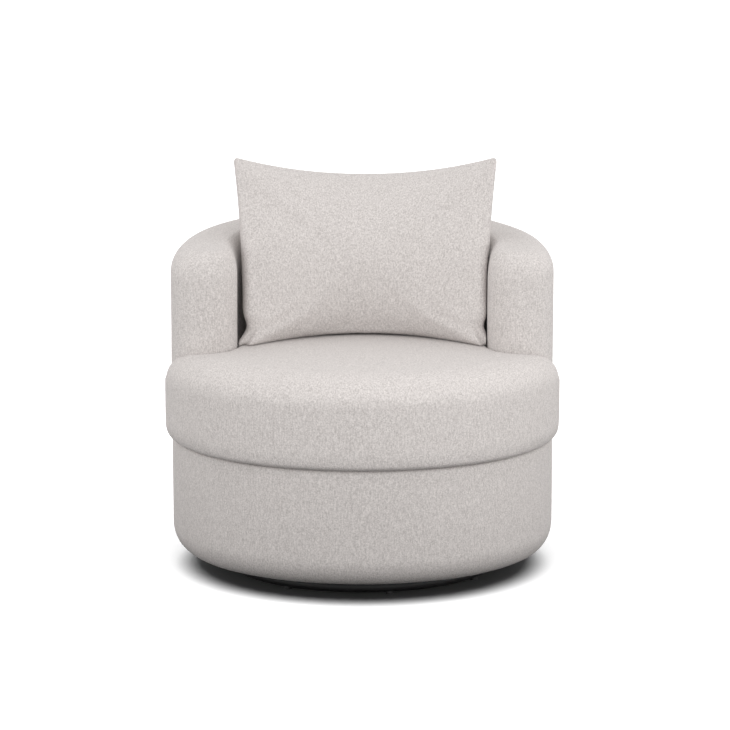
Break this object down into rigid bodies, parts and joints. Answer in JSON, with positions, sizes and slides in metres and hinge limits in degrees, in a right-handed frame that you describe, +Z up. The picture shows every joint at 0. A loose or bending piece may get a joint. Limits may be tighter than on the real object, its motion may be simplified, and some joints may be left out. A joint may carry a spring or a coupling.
{
  "type": "swivel accent chair",
  "caption": "Round upholstered swivel chair with a barrel back, a thick overhanging seat cushion and a loose back pillow, turning on a ball bearing over a low ring base.",
  "frame": {"origin": "on the floor, on the swivel axis", "axes": "+Z up along the swivel axis, -Y the way the chair faces, +X to the right in the picture"},
  "size_m": [0.8068, 0.8069, 0.8443],
  "materials": {
    "black_paint": "satin",
    "black_plastic": "matte",
    "zinc_steel": "satin",
    "cage_plastic": "satin",
    "plywood": "matte",
    "bent_board": "matte",
    "foam": "matte",
    "woven_cover": "matte",
    "black_cloth": "matte",
    "felt": "matte"
  },
  "bodies": {
    "base": {"base_ring": "black_paint", "base_spokes": "black_paint", "hub_plate": "black_paint", "floor_glides": "black_plastic", "swivel_lower_plate": "zinc_steel", "lower_plate_bolts": "zinc_steel", "lower_plate_nuts": "zinc_steel", "swivel_pivot": "zinc_steel", "pivot_washer": "zinc_steel", "pivot_lock_nut": "zinc_steel"},
    "ball_ring": {"swivel_balls": "zinc_steel", "ball_cage": "cage_plastic"},
    "chair": {"swivel_upper_plate": "zinc_steel", "upper_plate_bolts": "zinc_steel", "upper_plate_tnuts": "zinc_steel", "drum_deck": "plywood", "drum_ribs": "plywood", "drum_top_ring": "plywood", "drum_wall_board": "bent_board", "drum_padding": "foam", "drum_cover": "woven_cover", "dust_cover": "black_cloth", "spring_rails": "plywood", "seat_springs": "zinc_steel", "spring_clips": "zinc_steel", "deck_felt": "felt", "frame_screws": "zinc_steel", "seat_foam": "foam", "seat_cover": "woven_cover", "back_sill": "plywood", "back_top_rail": "plywood", "back_posts": "plywood", "back_inner_board": "bent_board", "back_outer_board": "bent_board", "back_padding": "foam", "back_cover": "woven_cover", "back_bolts": "zinc_steel", "back_tnuts": "zinc_steel"},
    "pillow": {"pillow_fill": "foam", "pillow_cover": "woven_cover"}
  },
  "joints": [
    {"name": "seat_swivel", "type": "hinge", "parent": "base", "child": "chair", "pos_m": [0, 0, 0.049], "axis": [0, 0, 1], "continuous": true},
    {"name": "ball_orbit", "type": "hinge", "parent": "base", "child": "ball_ring", "pos_m": [0, 0, 0.049], "axis": [0, 0, 1], "continuous": true},
    {"name": "pillow_lift", "type": "slide", "parent": "chair", "child": "pillow", "axis": [0, 0, 1], "range_m": [0, 0.26]}
  ],
  "couplings": [
    {"joint": "ball_orbit", "follows": "seat_swivel", "ratio": 0.5}
  ]
}
